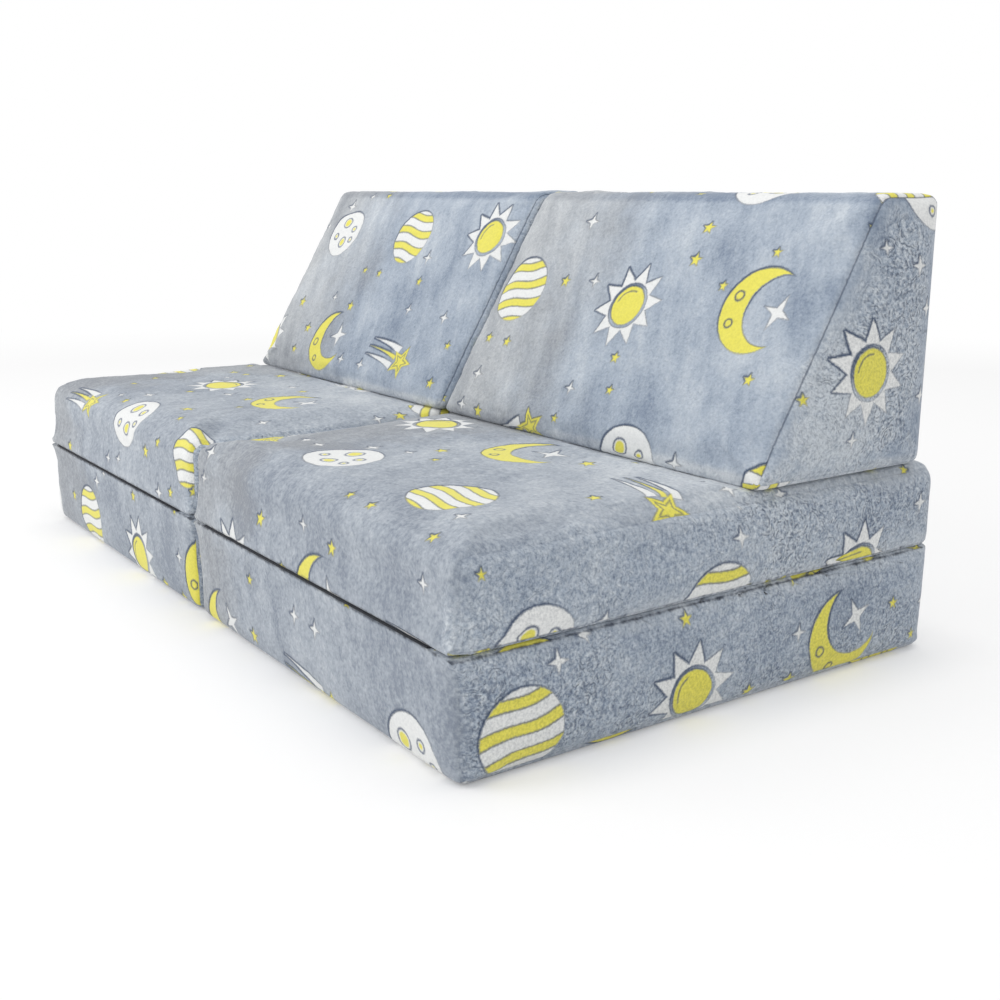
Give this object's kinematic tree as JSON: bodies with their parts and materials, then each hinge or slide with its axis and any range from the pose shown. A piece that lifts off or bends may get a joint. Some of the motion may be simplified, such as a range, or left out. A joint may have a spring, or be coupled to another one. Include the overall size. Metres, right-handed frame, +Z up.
{
  "type": "children's flip open sofa",
  "caption": "Low foam sofa whose cushioned seat blocks flip forward into a mattress, with upright wedge backs, in printed plush covers.",
  "frame": {"origin": "on the floor, under the middle of the closed sofa", "axes": "+X to the right of someone facing the seat, along the length of the sofa; the front faces -Y; +Z up"},
  "size_m": [1.2052, 0.6639, 0.5226],
  "materials": {
    "plush": "matte",
    "foam": "matte",
    "base_fabric": "matte",
    "hinge_tape": "matte",
    "zip_tape": "matte",
    "zip_slider": "satin",
    "grip_tape": "matte"
  },
  "bodies": {
    "base": {"lower_left_cover": "plush", "lower_left_core": "foam", "lower_left_base_panel": "base_fabric", "lower_left_zip": "zip_tape", "front_hinge_tape_left": "hinge_tape", "lower_right_cover": "plush", "lower_right_core": "foam", "lower_right_base_panel": "base_fabric", "lower_right_zip": "zip_tape", "front_hinge_tape_right": "hinge_tape", "hook_tape": "grip_tape", "loop_tape": "grip_tape"},
    "seat_left": {"upper_left_cover": "plush", "upper_left_core": "foam", "upper_left_zip": "zip_tape", "front_hinge_flap_left": "hinge_tape", "back_hinge_tape_left": "hinge_tape"},
    "wedge_left": {"back_left_cover": "plush", "back_left_core": "foam", "back_left_zip": "zip_tape", "back_hinge_flap_left": "hinge_tape"},
    "seat_right": {"upper_right_cover": "plush", "upper_right_core": "foam", "upper_right_zip": "zip_tape", "front_hinge_flap_right": "hinge_tape", "back_hinge_tape_right": "hinge_tape"},
    "wedge_right": {"back_right_cover": "plush", "back_right_core": "foam", "back_right_zip": "zip_tape", "back_hinge_flap_right": "hinge_tape"},
    "lower_left_slider": {"lower_left_zip_slider": "zip_slider"},
    "upper_left_slider": {"upper_left_zip_slider": "zip_slider"},
    "back_left_slider": {"back_left_zip_slider": "zip_slider"},
    "lower_right_slider": {"lower_right_zip_slider": "zip_slider"},
    "upper_right_slider": {"upper_right_zip_slider": "zip_slider"},
    "back_right_slider": {"back_right_zip_slider": "zip_slider"}
  },
  "joints": [
    {"name": "flip_left", "type": "hinge", "parent": "base", "child": "seat_left", "pos_m": [-0.30065, -0.3312, 0.12515], "axis": [1, 0, 0], "range_deg": [0, 182.4]},
    {"name": "wedge_swing_left", "type": "hinge", "parent": "seat_left", "child": "wedge_left", "pos_m": [-0.30065, 0.316, 0.22245], "axis": [-1, 0, 0], "range_deg": [0, 182.4]},
    {"name": "lower_left_zip_run", "type": "slide", "parent": "base", "child": "lower_left_slider", "axis": [1, 0, 0], "range_m": [0, 0.457]},
    {"name": "upper_left_zip_run", "type": "slide", "parent": "seat_left", "child": "upper_left_slider", "axis": [1, 0, 0], "range_m": [0, 0.457]},
    {"name": "back_left_zip_run", "type": "slide", "parent": "wedge_left", "child": "back_left_slider", "axis": [1, 0, 0], "range_m": [0, 0.457]},
    {"name": "flip_right", "type": "hinge", "parent": "base", "child": "seat_right", "pos_m": [0.30065, -0.3312, 0.12515], "axis": [1, 0, 0], "range_deg": [0, 182.4]},
    {"name": "wedge_swing_right", "type": "hinge", "parent": "seat_right", "child": "wedge_right", "pos_m": [0.30065, 0.316, 0.22245], "axis": [-1, 0, 0], "range_deg": [0, 182.4]},
    {"name": "lower_right_zip_run", "type": "slide", "parent": "base", "child": "lower_right_slider", "axis": [-1, 0, 0], "range_m": [0, 0.457]},
    {"name": "upper_right_zip_run", "type": "slide", "parent": "seat_right", "child": "upper_right_slider", "axis": [-1, 0, 0], "range_m": [0, 0.457]},
    {"name": "back_right_zip_run", "type": "slide", "parent": "wedge_right", "child": "back_right_slider", "axis": [-1, 0, 0], "range_m": [0, 0.457]}
  ],
  "couplings": [
    {"joint": "wedge_swing_left", "follows": "flip_left", "ratio": 1},
    {"joint": "wedge_swing_right", "follows": "flip_right", "ratio": 1}
  ]
}
